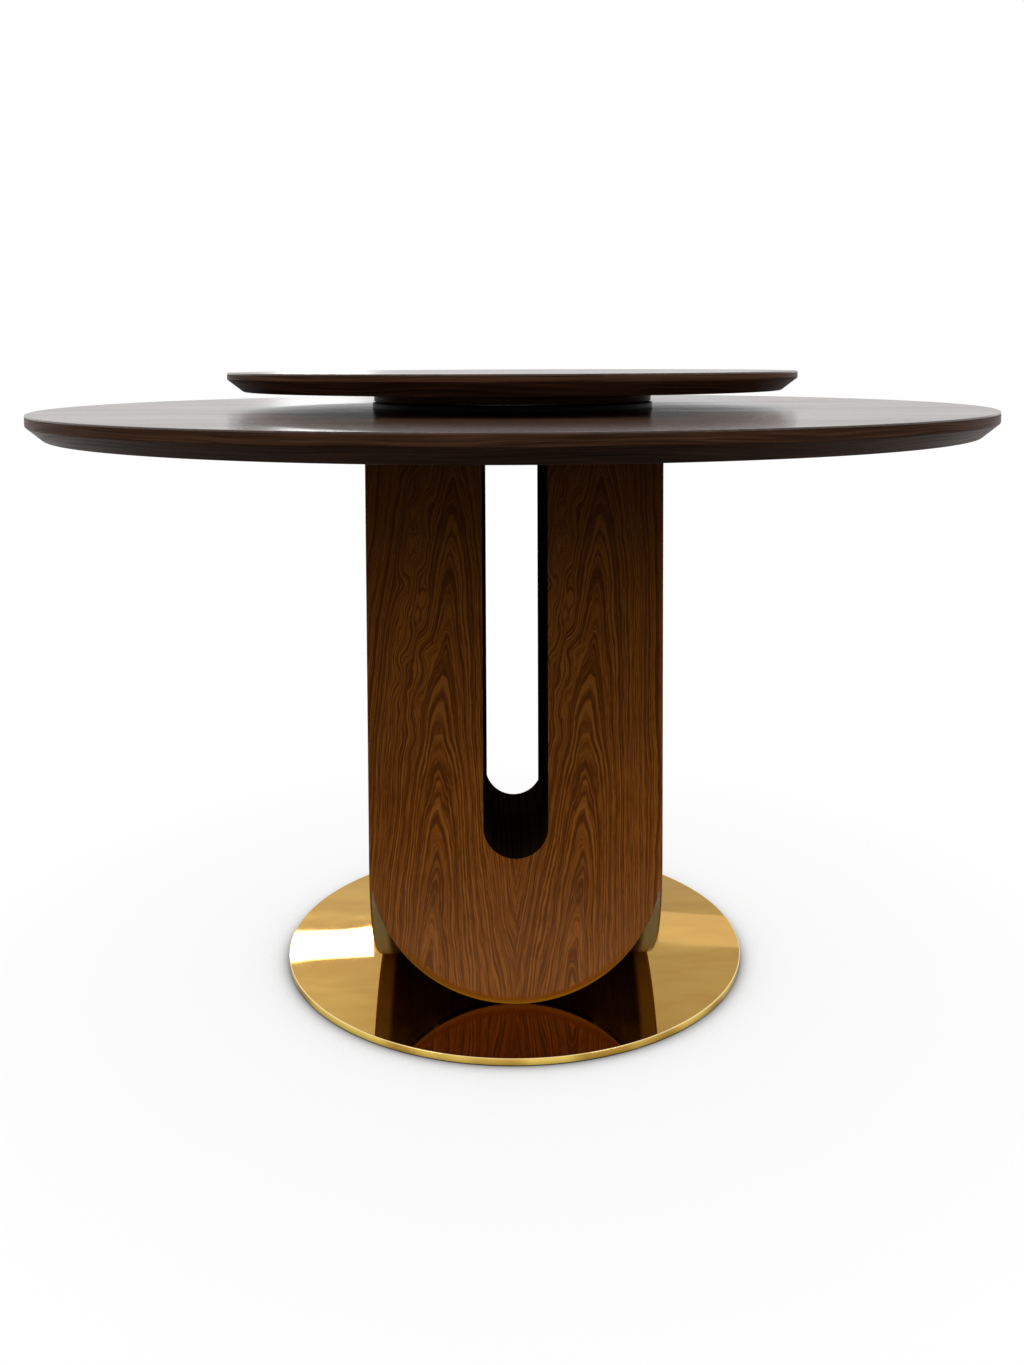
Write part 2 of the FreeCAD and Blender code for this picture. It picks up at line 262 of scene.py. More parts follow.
def straightVeneer(name):
    wood = woods[name]
    look = grainLook
    material, tree, shader = newMaterial(name)
    across, deep, along = parts(tree, objectPlace(tree, turn=wood["turn"]))
    slow = grainNoise(tree, across, deep, along, look["slowStretch"], look["slowNoise"])
    lateral = timesPlus(tree, minus(tree, slow, noiseMiddle), look["sway"], across)
    linePlace = joined(tree, lateral, wood["seed"], times(tree, along, look["lineStretch"]))
    lines = noise(tree, linePlace, 1.0 / wood["spacing"], *look["lineDetail"])["Fac"]
    pores = grainNoise(tree, lateral, deep, along, look["poreStretch"], look["poreNoise"])
    tone = timesPlus(tree, minus(tree, slow, noiseMiddle), look["shade"], lines)
    colour = ramp(tree, tone, look["stops"], wood["colours"])
    poreShare = times(tree, spread(tree, pores, *look["poreEdge"]), look["poreShare"])
    feed(tree, blend(tree, poreShare, colour, wood["colours"][0]), shader.inputs["Base Color"])
    smooth, dull = wood["roughness"]
    feed(tree, spread(tree, tone, *look["toneReach"], dull, smooth), shader.inputs["Roughness"])
    shader.inputs["Specular IOR Level"].default_value = wood["specular"]
    relief(tree, shader, tone, *look["relief"])
    return material


liningVeneerPaintedShade = straightVeneer("lining veneer painted dark")
coreTimber = straightVeneer("core timber")
coreBoard = straightVeneer("core board")
rimWood = straightVeneer("rim walnut")
plinthWoodPaintedLighter = straightVeneer("plinth walnut painted lighter")
topWood = straightVeneer("top walnut")
paint(liningVeneerPaintedShade, "slot_step", *[name for name in nodes if name.startswith("slot_wall")])
paint(coreTimber, "lower_core", *[name for name in nodes if name.startswith("leg_block")])
paint(coreBoard, "tabletop_core", "susan_core")
print("inner timber painted")


# Metals and paint: a cloudy coat that varies a little in gloss and depth

coatings = {
    "bolt steel": {"colour": (0.5, 0.5, 0.52), "roughness": 0.35, "metallic": 1.0, "specular": 0.5},
    "plain steel": {"colour": (0.32, 0.32, 0.34), "roughness": 0.45, "metallic": 1.0, "specular": 0.5},
    "race steel": {"colour": (0.56, 0.56, 0.58), "roughness": 0.22, "metallic": 1.0, "specular": 0.5},
    "black paint": {"colour": (0.012, 0.012, 0.012), "roughness": 0.42, "metallic": 0.0, "specular": 0.05},
    "rubber": {"colour": (0.02, 0.02, 0.02), "roughness": 0.8, "metallic": 0.0, "specular": 0.5},
}
coatLook = {
    "cloudNoise": (40.0, 3.0, 0.55),
    "cloudReach": (0.3, 0.7),
    "glossVaries": 0.04,
    "darker": 0.8,
    "fineNoise": (1000.0, 2.0, 0.5),
    "relief": (0.00004, 0.3),
}


def coating(name):
    coat = coatings[name]
    material, tree, shader = newMaterial(name)
    place = objectPlace(tree)
    cloud = noise(tree, place, *coatLook["cloudNoise"])["Fac"]
    gloss = [coat["roughness"] + side * coatLook["glossVaries"] for side in (-1, 1)]
    feed(tree, spread(tree, cloud, *coatLook["cloudReach"], *gloss), shader.inputs["Roughness"])
    darker = [coatLook["darker"] * channel for channel in coat["colour"]]
    shade = spread(tree, cloud, *coatLook["cloudReach"])
    feed(tree, blend(tree, shade, darker, coat["colour"]), shader.inputs["Base Color"])
    shader.inputs["Metallic"].default_value = coat["metallic"]
    shader.inputs["Specular IOR Level"].default_value = coat["specular"]
    relief(tree, shader, noise(tree, place, *coatLook["fineNoise"])["Fac"], *coatLook["relief"])
    return material


goldLook = {
    "face": (0.37, 0.213, 0.038),
    "dull": (0.33, 0.176, 0.027),
    # painted highlight: the plate's eased top edge is a much brighter gold than its face
    "arris": (0.9, 0.68, 0.33),
    "highlightRadius": (0.3222, 0.3226),
    # painted reflection: the plate's rim side is its own gold, with brighter patches, standing in for what
    # the rim reflects
    "rim": (0.56, 0.33, 0.055),
    "paintedRimHighlight": (0.98, 0.68, 0.15),
    "rimRadius": (0.3228, 0.3231),
    "rimHeight": (0.0093, 0.0087),
    "rimHighlightNoise": (12.0, 1.0, 0.5),
    "rimHighlightReach": (0.38, 0.6),
    "smearTurn": (0, 0, 0.5),
    "smearScale": (1.0, 3.2, 1.0),
    "smearNoise": (6.0, 3.0, 0.55),
    "smearReach": (0.35, 0.65),
    "roughness": (0.35, 0.7, 0.015, 0.045),
    "tint": (1.0, 0.94, 0.82, 1.0),
    "waveNoise": (5.0, 2.0, 0.5),
    "relief": (0.0003, 0.5),
}


def goldPlate():
    look = goldLook
    material, tree, shader = newMaterial("gold plate")
    place = objectPlace(tree)
    x, y, z = parts(tree, place)
    radius = reach(tree, x, y)
    smearPlace = objectPlace(tree, look["smearTurn"], look["smearScale"])
    smear = noise(tree, smearPlace, *look["smearNoise"])["Fac"]
    colour = blend(tree, spread(tree, smear, *look["smearReach"]), look["dull"], look["face"])
    # painted highlight on the eased top edge
    colour = blend(tree, spread(tree, radius, *look["highlightRadius"]), colour, look["arris"])
    # painted reflection on the rim's side, brighter in patches
    rimHighlights = spread(tree, noise(tree, place, *look["rimHighlightNoise"])["Fac"], *look["rimHighlightReach"])
    rim = blend(tree, rimHighlights, look["rim"], look["paintedRimHighlight"])
    onRim = times(tree, spread(tree, radius, *look["rimRadius"]), spread(tree, z, *look["rimHeight"]))
    feed(tree, blend(tree, onRim, colour, rim), shader.inputs["Base Color"])
    feed(tree, spread(tree, smear, *look["roughness"]), shader.inputs["Roughness"])
    shader.inputs["Metallic"].default_value = 1.0
    shader.inputs["Specular Tint"].default_value = look["tint"]
    relief(tree, shader, noise(tree, place, *look["waveNoise"])["Fac"], *look["relief"])
    return material


paint(coating("bolt steel"), *[name for name in nodes if "_bolt_" in name])
paint(coating("plain steel"), "base_weight", "top_plate")
paint(coating("race steel"), "race_ring_fixed", "race_ring_moving", "race_cage")
paint(coating("rubber"), "base_pad")
print("metal parts painted")


# Piece helpers

sharpAngle = math.radians(35)


def finished(form, name):
    for face in form.faces:
        face.smooth = True
    mesh = bpy.data.meshes.new(name)
    form.to_mesh(mesh)
    form.free()
    mesh.set_sharp_from_angle(angle=sharpAngle)
    piece = bpy.data.objects.new(name, mesh)
    scene.collection.objects.link(piece)
    weighted = piece.modifiers.new("flat faces", "WEIGHTED_NORMAL")
    weighted.keep_sharp = True
    return piece


def dress(piece, body, material, slotName, *replaced):
    piece.data.materials.append(material)
    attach(piece, body)
    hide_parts(*replaced)


def corners(node):
    low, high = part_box(node)
    return high.x, low.z, high.z


# Pedestal: eight boards, four foot skins and four slot floors

pedestal = {
    "slotWidth": 0.0825,
    "lining": 0.012,
    "skin": 0.012,
    "sink": 0.0005,
    "arris": 0.003,
    "footEase": 0.0145,
    "footEaseAngle": 55.0,
    "footDeepens": 0.003,
    "slotEase": 0.0013,
    "slotEaseSteps": 3,
    "easeRings": 6,
    "shoulderSteps": 12,
    "sweepSteps": 24,
    "slotSteps": 48,
    "shellSteps": 36,
    "cutWithin": 1e-7,
}
boardLow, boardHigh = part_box("face_front_a")
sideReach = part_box("face_right_a")[1].x
frontReach = -boardLow.y
boardThickness = boardHigh.y - boardLow.y
pedestalTop = boardHigh.z
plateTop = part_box("base_cover")[1].z
foot = plateTop - pedestal["sink"]
bend = min(frontReach, sideReach)
slotHalf = pedestal["slotWidth"] / 2
sidePlans = {
    "front": {"turn": 0.0, "half": sideReach, "reach": frontReach},
    "right": {"turn": quarter, "half": frontReach, "reach": sideReach},
    "rear": {"turn": 2 * quarter, "half": sideReach, "reach": frontReach},
    "left": {"turn": 3 * quarter, "half": frontReach, "reach": sideReach},
}


# Pedestal veneer: each leaf is cut across the growth rings, so its grain makes pointed arches
# that widen towards the foot, with straight grain at the leaf's outer edge

leafLook = {
    "dark": (0.17, 0.046, 0.0065),
    "middle": (0.31, 0.09, 0.0125),
    "light": (0.47, 0.155, 0.0245),
    "stops": (0.43, 0.5, 0.585),
    # painted sheen: towards the foot the veneer is blended towards a paler, hazier colour, standing in for a
    # sheen of reflected light
    "paintedSheen": (0.5, 0.28, 0.145),
    "paintedSheenHeight": (0.26, 0.04, 0.0, 0.14),
    # painted shade: higher up the veneer is blended towards this dark colour, standing in for the shadow
    # under the tabletop
    "high": (0.1, 0.044, 0.013),
    "paintedShadeHeight": (0.5, 0.74, 0.0, 0.5),
    "leafAxis": (-0.1, 0.089),
    "firstSeed": 1.7,
    "nextSeed": 3.1,
    "lean": 0.05,
    "leanMiddle": 0.28,
    "wander": 0.024,
    "smallWander": 0.0035,
    "lift": 0.12,
    "curl": 0.05,
    "curlPlace": -0.043,
    "curlBeside": (0.034, 0.006),
    "curlHeight": (0.3, 0.46),
    "flare": 0.36,
    "flareHeight": 0.36,
    "archDepth": 0.003,
    "archTaper": 0.088,
    "archPoint": 1.6,
    "ragged": 0.006,
    "lineSpacing": 0.0016,
    "lineDetail": (2.0, 0.6),
    "lineShare": 0.4,
    "bandSpacing": 0.0042,
    "bandDetail": (1.0, 0.5),
    "bandSeed": 2.0,
    "bandShare": 0.2,
    "streakShare": 0.4,
    "paleBand": (0.04, 0.0, -0.02, 0.11),
    "paleHeight": (0.25, 0.5),
    "shadeShare": 0.15,
    "poreDepth": (0.62, 0.72, 0.0, 0.12),
    "roughness": (0.3, 0.7, 0.48, 0.38),
    "specular": 0.02,
    "relief": (0.0002, 0.5),
}
# stretch up the leaf, step from the leaf's seed, then scale, detail and roughness
leafNoises = {
    "wide": (0.3, 0.0, 12.0, 2.0, 0.5),
    "small": (0.2, 5.0, 70.0, 2.0, 0.55),
    "curl": (0.55, 3.0, 34.0, 1.0, 0.5),
    "ragged": (0.24, 9.0, 42.0, 3.0, 0.55),
    "streaks": (0.03, 0.0, 900.0, 2.0, 0.6),
    "pores": (0.045, 4.0, 1300.0, 1.0, 0.5),
    "shade": (0.4, 7.0, 9.0, 2.0, 0.5),
}
# painted light on the foot and the slot: gold bounce light from the plate on the foot's eased edge, a
# painted reflection of the plate with painted shade beside it on the foot's lacquered underside, and a
# painted highlight on the slot's lower arris
edgeLook = {
    "paintedBounce": (0.36, 0.105, 0.004),
    "paintedBounceLow": (1.0, 0.5, 0.01),
    "paintedBounceFade": 8.0,
    "paintedBounceShare": 0.85,
    "easedHeight": (0.15, 0.04),
    "bandInset": (0.0125, 0.009),
    "bandHeight": (0.12, 0.03),
    "under": (0.9955, 1.0),
    "underTop": (0.205, 0.19),
    "paintedReflectionPale": (0.9, 0.67, 0.27),
    "paintedReflectionDim": (0.26, 0.17, 0.085),
    "paintedReflectionHeight": (0.05, 0.17),
    "paintedUnderShade": (0.03, 0.013, 0.004),
    "paintedLightEdge": (0.162, 0.172),
    "paintedLightShare": 0.9,
    "paintedSlotHighlight": (0.9, 0.75, 0.6),
    "slotBeside": (0.05, 0.046),
    "slotFrom": (0.19, 0.2),
    "slotTo": (0.232, 0.206),
    "slotEased": (0.0, 0.3),
    "coatRoughness": 0.16,
}


def leafNoise(tree, kind, across, up, seed):
    stretch, step, *settings = leafNoises[kind]
    return noise(tree, joined(tree, across, seed + step, times(tree, up, stretch)), *settings)


def leafRings(tree, across, up, seamSide, seed):
    look = leafLook
    sway, lift = parts(tree, leafNoise(tree, "wide", across, up, seed)["Color"])[:2]
    smallSway = parts(tree, leafNoise(tree, "small", across, up, seed)["Color"])[0]
    ragged = leafNoise(tree, "ragged", across, up, seed)["Fac"]
    # curls beside the arches, in the upper half
    fromCurls = absolute(tree, minus(tree, across, look["curlPlace"]))
    besideArch = spread(tree, fromCurls, *look["curlBeside"])
    curlBand = times(tree, besideArch, spread(tree, up, *look["curlHeight"]))
    curlSway = parts(tree, leafNoise(tree, "curl", across, up, seed)["Color"])[0]
    toSeam = larger(tree, times(tree, across, seamSide), 0.0)
    flare = times(tree, toSeam, spread(tree, up, look["flareHeight"], 0.0, 0.0, look["flare"], False))
    lateral = minus(tree, across, times(tree, flare, seamSide))
    lateral = plus(tree, lateral, centred(tree, sway, look["wander"]))
    lateral = plus(tree, lateral, centred(tree, smallSway, look["smallWander"]))
    lateral = plus(tree, lateral, times(tree, centred(tree, curlSway, look["curl"]), curlBand))
    height = plus(tree, up, centred(tree, lift, look["lift"]))
    depth = timesPlus(tree, height, look["archTaper"], look["archDepth"])
    point = look["archPoint"]
    both = plus(tree, power(tree, absolute(tree, lateral), point), power(tree, depth, point))
    rings = plus(tree, power(tree, both, 1.0 / point), centred(tree, ragged, look["ragged"]))
    return rings, lateral


# growth lines, broader bands, streaks that break them up, thin pale lines, slow shading and pores
def leafTone(tree, rings, lateral, across, up, seed):
    look = leafLook
    linePlace = plus(tree, rings, seed)
    lines = noise(tree, linePlace, 1.0 / look["lineSpacing"], *look["lineDetail"], "1D")["Fac"]
    bandPlace = plus(tree, rings, seed + look["bandSeed"])
    bands = noise(tree, bandPlace, 1.0 / look["bandSpacing"], *look["bandDetail"], "1D")["Fac"]
    tone = plus(tree, times(tree, lines, look["lineShare"]), times(tree, bands, look["bandShare"]))
    streaks = leafNoise(tree, "streaks", rings, up, seed)["Fac"]
    tone = timesPlus(tree, streaks, look["streakShare"], tone)
    pale = spread(tree, absolute(tree, minus(tree, bands, noiseMiddle)), *look["paleBand"])
    tone = timesPlus(tree, pale, spread(tree, up, *look["paleHeight"]), tone)
    shade = leafNoise(tree, "shade", across, up, seed)["Fac"]
    tone = plus(tree, tone, centred(tree, shade, look["shadeShare"]))
    pores = leafNoise(tree, "pores", lateral, up, seed)["Fac"]
    return minus(tree, tone, spread(tree, pores, *look["poreDepth"]))


# painted light on the foot's underside: a painted reflection of the plate, pale near the floor and dimmer
# higher up, and painted shade, near-black, on its inner part
def paintedUndersideLight(tree):
    look = edgeLook
    x, z = parts(tree, objectPlace(tree))[::2]
    height = spread(tree, z, *look["paintedReflectionHeight"], soft=False)
    outer = ramp(tree, height, (0.0, 1.0), (look["paintedReflectionPale"], look["paintedReflectionDim"]))
    return blend(tree, spread(tree, absolute(tree, x), *look["paintedLightEdge"]), look["paintedUnderShade"], outer)


# painted light: gold bounce light from the plate, painted on the foot's eased edge and on a band of the face
# along the foot's curve, brightest at the bottom
def paintedBounceEdge(tree, colour, eased, beside, up, flat):
    look = edgeLook
    paintedBounce = blend(tree, power(tree, eased, look["paintedBounceFade"]), look["paintedBounce"], look["paintedBounceLow"])
    onEase = times(tree, eased, spread(tree, up, *look["easedHeight"]))
    beyond = larger(tree, minus(tree, absolute(tree, beside), flat), 0.0)
    fromMiddle = reach(tree, beyond, minus(tree, up, foot + bend))
    nearEdge = spread(tree, fromMiddle, *[bend - inset for inset in look["bandInset"]])
    onFace = times(tree, nearEdge, spread(tree, up, *look["bandHeight"]))
    share = times(tree, larger(tree, onEase, onFace), look["paintedBounceShare"])
    return blend(tree, share, colour, paintedBounce)


# painted highlight: a pale line on the lower arris of the slot
def paintSlotHighlight(tree, colour, eased, beside, up):
    look = edgeLook
    inSlot = spread(tree, absolute(tree, beside), *look["slotBeside"])
    inSlot = times(tree, inSlot, spread(tree, up, *look["slotFrom"]))
    inSlot = times(tree, inSlot, spread(tree, eased, *look["slotEased"]))
    return blend(tree, times(tree, inSlot, spread(tree, up, *look["slotTo"])), colour, look["paintedSlotHighlight"])


def veneerLeaf(name, turn, axis, seamSide, seed, flat):
    look = leafLook
    material, tree, shader = newMaterial(name)
    beside, up = parts(tree, objectPlace(tree, turn=(0, 0, turn)))[::2]
    leaning = timesPlus(tree, minus(tree, up, look["leanMiddle"]), look["lean"], axis)
    across = minus(tree, beside, leaning)
    rings, lateral = leafRings(tree, across, up, seamSide, seed)
    tone = leafTone(tree, rings, lateral, across, up, seed)
    colour = ramp(tree, tone, look["stops"], (look["dark"], look["middle"], look["light"]))
    # painted sheen near the foot
    colour = blend(tree, spread(tree, up, *look["paintedSheenHeight"]), colour, look["paintedSheen"])
    # painted shade under the tabletop: darker towards the top
    colour = blend(tree, spread(tree, up, *look["paintedShadeHeight"]), colour, look["high"])
    eased = addNode(tree, "ShaderNodeAttribute", attribute_name="ease").outputs["Fac"]
    # painted gold bounce light from the plate on the foot's edge
    colour = paintedBounceEdge(tree, colour, eased, beside, up, flat)
    # painted reflection and painted shade on the eased underside of the foot, which also gets a lacquer coat
    below = spread(tree, up, *edgeLook["underTop"])
    underside = times(tree, spread(tree, eased, *edgeLook["under"]), below)
    colour = blend(tree, underside, colour, paintedUndersideLight(tree))
    feed(tree, paintSlotHighlight(tree, colour, eased, beside, up), shader.inputs["Base Color"])
    feed(tree, spread(tree, tone, *look["roughness"]), shader.inputs["Roughness"])
    shader.inputs["Specular IOR Level"].default_value = look["specular"]
    feed(tree, underside, shader.inputs["Coat Weight"])
    shader.inputs["Coat Roughness"].default_value = edgeLook["coatRoughness"]
    relief(tree, shader, tone, *look["relief"])
    return material


# the foot skins: lacquered veneer, with the underside's painted reflection blended in at their outer parts
def lacqueredVeneerWithPaintedLight(name):
    material = straightVeneer(name)
    tree = material.node_tree
    shader = tree.nodes["Principled BSDF"]
    shader.inputs["Coat Weight"].default_value = 1.0
    shader.inputs["Coat Roughness"].default_value = edgeLook["coatRoughness"]
    grain = shader.inputs["Base Color"].links[0].from_socket
    fromMiddle = absolute(tree, parts(tree, objectPlace(tree))[0])
    outer = spread(tree, fromMiddle, *edgeLook["paintedLightEdge"], 0.0, edgeLook["paintedLightShare"])
    feed(tree, blend(tree, outer, grain, paintedUndersideLight(tree)), shader.inputs["Base Color"])
    return material


# Pedestal shapes: each is drawn as the front one and turned to its side

def ofKind(items, kind):
    return [item for item in items if isinstance(item, kind)]


def cutAway(form, point, normal):
    cut = bmesh.ops.bisect_plane(
        form, geom=form.verts[:] + form.edges[:] + form.faces[:], dist=pedestal["cutWithin"],
        plane_co=point, plane_no=normal, clear_outer=True)
    bmesh.ops.edgeloop_fill(form, edges=ofKind(cut["geom_cut"], bmesh.types.BMEdge))


def mitre(form, lead):
    cutAway(form, (0, -lead, 0), (1, 1, 0))
    cutAway(form, (0, -lead, 0), (-1, 1, 0))


def turnedToSide(form, name, plan):
    bmesh.ops.recalc_face_normals(form, faces=form.faces)
    sideTurn = Matrix.Rotation(plan["turn"], 3, "Z")
    bmesh.ops.rotate(form, verts=form.verts, cent=(0, 0, 0), matrix=sideTurn)
    return finished(form, name)


# a move is either the next point or the centre, angle and steps of an arc
def pathOf(form, start, moves):
    points = [form.verts.new(start)]
    for move in moves:
        if len(move) == 1:
            made = bmesh.ops.extrude_vert_indiv(form, verts=[points[-1]])
            made["verts"][0].co = move[0]
            points.append(made["verts"][0])
        else:
            centre, angle, steps = move
            made = bmesh.ops.spin(
                form, geom=[points[-1]], cent=centre, axis=(0, -1, 0), dvec=(0, 0, 0),
                angle=angle, steps=steps, use_merge=False, use_duplicate=False)
            points.append(ofKind(made["geom_last"], bmesh.types.BMVert)[0])
    return points


# one outline of a face, set in at its edges and risen at its toe
def boardRing(form, plan, slotFloor, y, inset, rise):
    flat = plan["half"] - bend
    side = plan["half"] - inset
    middle = foot + bend
    toe = foot + rise
    spring = slotFloor + slotHalf
    radius = bend - inset
    turn = math.radians(pedestal["footEaseAngle"])
    shoulder = quarter - turn
    run = radius * math.sin(turn)
    fall = middle - radius * math.cos(turn) - foot - rise
    wide = (run * run + fall * fall) / (2 * fall)
    sweep = math.asin(run / wide)
    known = set(form.verts)
    moves = [
        ((-side, y, middle),),
        ((-flat, y, middle), shoulder, pedestal["shoulderSteps"]),
        ((-flat, y, toe + wide), sweep, pedestal["sweepSteps"]),
        ((flat, y, toe),),
        ((flat, y, toe + wide), sweep, pedestal["sweepSteps"]),
        ((flat, y, middle), shoulder, pedestal["shoulderSteps"]),
        ((side, y, pedestalTop),),
        ((slotHalf, y, pedestalTop),),
        ((slotHalf, y, spring),),
        ((0, y, spring), -2 * quarter, pedestal["slotSteps"]),
        ((-slotHalf, y, pedestalTop),),
    ]
    if flat < tiny:  # the two curves meet with no level part between them
        del moves[3]
    ends = pathOf(form, (-side, y, pedestalTop), moves)
    form.edges.new((ends[-1], ends[0]))
    verts = [vert for vert in form.verts if vert not in known]
    return verts, list({edge for vert in verts for edge in vert.link_edges})


def onSlot(verts, slotFloor):
    return all(abs(vert.co.x) < slotHalf + tiny and vert.co.z > slotFloor - tiny for vert in verts)


def faceBoard(name, plan, half, slotFloor):
    form = bmesh.new()
    easeLayer = form.verts.layers.float.new("ease")
    ringCount = pedestal["easeRings"]
    rings = [boardRing(form, plan, slotFloor, boardThickness - plan["reach"], 0.0, 0.0)]
    for step in range(ringCount + 1):
        share = step / ringCount * quarter
        back = 1 - math.sin(share)
        inward = 1 - math.cos(share)
        y = pedestal["arris"] * back - plan["reach"]
        verts, edges = boardRing(
            form, plan, slotFloor, y, pedestal["arris"] * inward, pedestal["footEase"] * inward)
        for vert in verts:  # the easing runs deeper under the foot
            low = min(max(1.0 - (vert.co.z - foot) / bend, 0.0), 1.0)
            vert.co.y += pedestal["footDeepens"] * low * low * back
        rings.append((verts, edges))
    for number, (verts, edges) in enumerate(rings):
        for vert in verts:
            vert[easeLayer] = 1.0 - (max(number - 1, 0) / ringCount) ** 3
    outlines = [edges for verts, edges in rings]
    for edges, nextEdges in zip(outlines, outlines[1:]):
        made = bmesh.ops.bridge_loops(form, edges=edges + nextEdges)
        # the lining's near-black is painted shade inside the slot
        if edges is outlines[0]:  # the slot's sides and floor take the lining's material
            for face in made["faces"]:
                if onSlot(face.verts, slotFloor):
                    face.material_index = 1
    bmesh.ops.edgeloop_fill(form, edges=outlines[0])
    bmesh.ops.edgeloop_fill(form, edges=outlines[-1])
    arris = [edge for edge in outlines[-1] if onSlot(edge.verts, slotFloor)
             and abs(edge.verts[0].co.x - edge.verts[1].co.x) < slotHalf]
    bmesh.ops.bevel(
        form, geom=arris, offset=pedestal["slotEase"], offset_type="OFFSET",
        segments=pedestal["slotEaseSteps"], profile=0.5, affect="EDGES", material=-1)
    mitre(form, plan["reach"] - plan["half"])
    cutAway(form, (0, 0, plateTop), (0, 0, -1))
    cutAway(form, (0, 0, 0), (1 if half == "a" else -1, 0, 0))
    return turnedToSide(form, name, plan)


# a curved shell from the back of the face inwards, U-shaped in front view
def archShell(name, plan, half, radius, low, thickness, end, lead, ceiling):
    form = bmesh.new()
    flat = half - radius
    y = boardThickness - plan["reach"]
    middle = low + radius
    outer = form.verts.new((-half, y, middle))
    edge = form.edges.new((outer, form.verts.new((thickness - half, y, middle))))
    for centre in (-flat, flat):
        made = bmesh.ops.spin(
            form, geom=[*edge.verts, edge], cent=(centre, y, middle), axis=(0, -1, 0), dvec=(0, 0, 0),
            angle=quarter, steps=pedestal["shellSteps"], use_merge=False, use_duplicate=False)
        edge = ofKind(made["geom_last"], bmesh.types.BMEdge)[0]
        if centre < 0:
            made = bmesh.ops.extrude_edge_only(form, edges=[edge])
            moved = ofKind(made["geom"], bmesh.types.BMVert)
            bmesh.ops.translate(form, vec=(2 * flat, 0, 0), verts=moved)
            edge = ofKind(made["geom"], bmesh.types.BMEdge)[0]
    made = bmesh.ops.extrude_face_region(form, geom=form.faces[:])
    bmesh.ops.translate(form, vec=(0, end - y, 0), verts=ofKind(made["geom"], bmesh.types.BMVert))
    bmesh.ops.recalc_face_normals(form, faces=form.faces)
    mitre(form, lead)
    cutAway(form, (0, 0, ceiling), (0, 0, -1))
    return turnedToSide(form, name, plan)


footVeneer = lacqueredVeneerWithPaintedLight("foot veneer")
lined = slotHalf + pedestal["lining"]
for number, (side, plan) in enumerate(sidePlans.items()):
    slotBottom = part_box(f"slot_floor_{side}")[0].z
    seed = leafLook["firstSeed"] + leafLook["nextSeed"] * number
    for half, axis, seamSide in zip("ab", leafLook["leafAxis"], (1.0, -1.0)):
        piece = faceBoard(f"face{side.title()}{half.upper()}", plan, half, slotBottom + pedestal["lining"])
        leafName = f"veneer {side} {half}"
        leaf = veneerLeaf(leafName, -plan["turn"], axis, seamSide, seed, plan["half"] - bend)
        dress(piece, "table", leaf, "pedestal_veneer", f"face_{side}_{half}")
        # the lining's painted shade goes on the slot's sides and floor
        piece.data.materials.append(liningVeneerPaintedShade)
    piece = archShell(
        f"footSkin{side.title()}", plan, plan["half"], bend, foot, pedestal["skin"], 0.0,
        plan["reach"] - plan["half"], plateTop)
    dress(piece, "table", footVeneer, "pedestal_veneer", f"foot_skin_{side}")
    troughEnd = -slotHalf if side == "rear" else 0.0
    piece = archShell(
        f"slotFloor{side.title()}", plan, lined, lined, slotBottom, pedestal["lining"], troughEnd, 0.0, foot)
    dress(piece, "table", liningVeneerPaintedShade, "slot_lining", f"slot_floor_{side}")
print("pedestal modelled")


# Turned pieces: an outline spun round the table's axis, its named corners eased

turning = {"steps": 256, "easeSegments": 4}


def turned(name, outline, eased, steps=turning["steps"]):
    form = bmesh.new()
    points = [form.verts.new((radius, 0.0, height)) for radius, height in outline]
    edges = [form.edges.new(pair) for pair in zip(points, points[1:])]
    if outline[0][0] > 0 or outline[-1][0] > 0:
        edges.append(form.edges.new((points[-1], points[0])))
    bmesh.ops.spin(
        form, geom=points + edges, cent=(0, 0, 0), axis=(0, 0, 1), dvec=(0, 0, 0),
        angle=2 * math.pi, steps=steps, use_merge=True, use_duplicate=False)
    bmesh.ops.remove_doubles(form, verts=form.verts, dist=tiny)
    bmesh.ops.recalc_face_normals(form, faces=form.faces)
    for (radius, height), width in eased:
        corner = [edge for edge in form.edges if all(
            abs(math.hypot(vert.co.x, vert.co.y) - radius) < 10 * tiny
            and abs(vert.co.z - height) < tiny for vert in edge.verts)]
        bmesh.ops.bevel(
            form, geom=corner, offset=width, offset_type="OFFSET", segments=turning["easeSegments"],
            profile=0.5, affect="EDGES", material=-1, clamp_overlap=True)
    return finished(form, name)


# a ring with an upright rim above an undercut
def turnedLipping(name, node, look):
    radius, low, high = corners(node)
    inner = radius - look["lipping"]
    radius -= look["within"]
    underRim = (radius, high - look["rim"])
    toe = (radius - look["chamfer"], low)
    outline = [(inner, high), (radius, high), underRim, toe, (inner, low)]
    return turned(name, outline, [(underRim, look["rimEase"]), (toe, look["toeEase"])], look["steps"])


def turnedSurface(name, node, look):
    radius, low, high = corners(node)
    radius -= look["within"]
    outline = [(0, high), (radius, high), (radius, low), (0, low)]
    return turned(name, outline, [((radius, high), look["surfaceEase"])], look["steps"])


basePlate = {"edge": 0.0012, "foot": 0.0006, "skin": 0.0015}
radius, low, high = corners("base_cover")
skin = basePlate["skin"]
outline = [(0, high), (radius, high), (radius, low), (radius - skin, low), (radius - skin, high - skin),
           (0, high - skin)]
eased = [((radius, high), basePlate["edge"]), ((radius, low), basePlate["foot"])]
dress(turned("basePlateCover", outline, eased), "table", goldPlate(), "gold_plate", "base_cover")

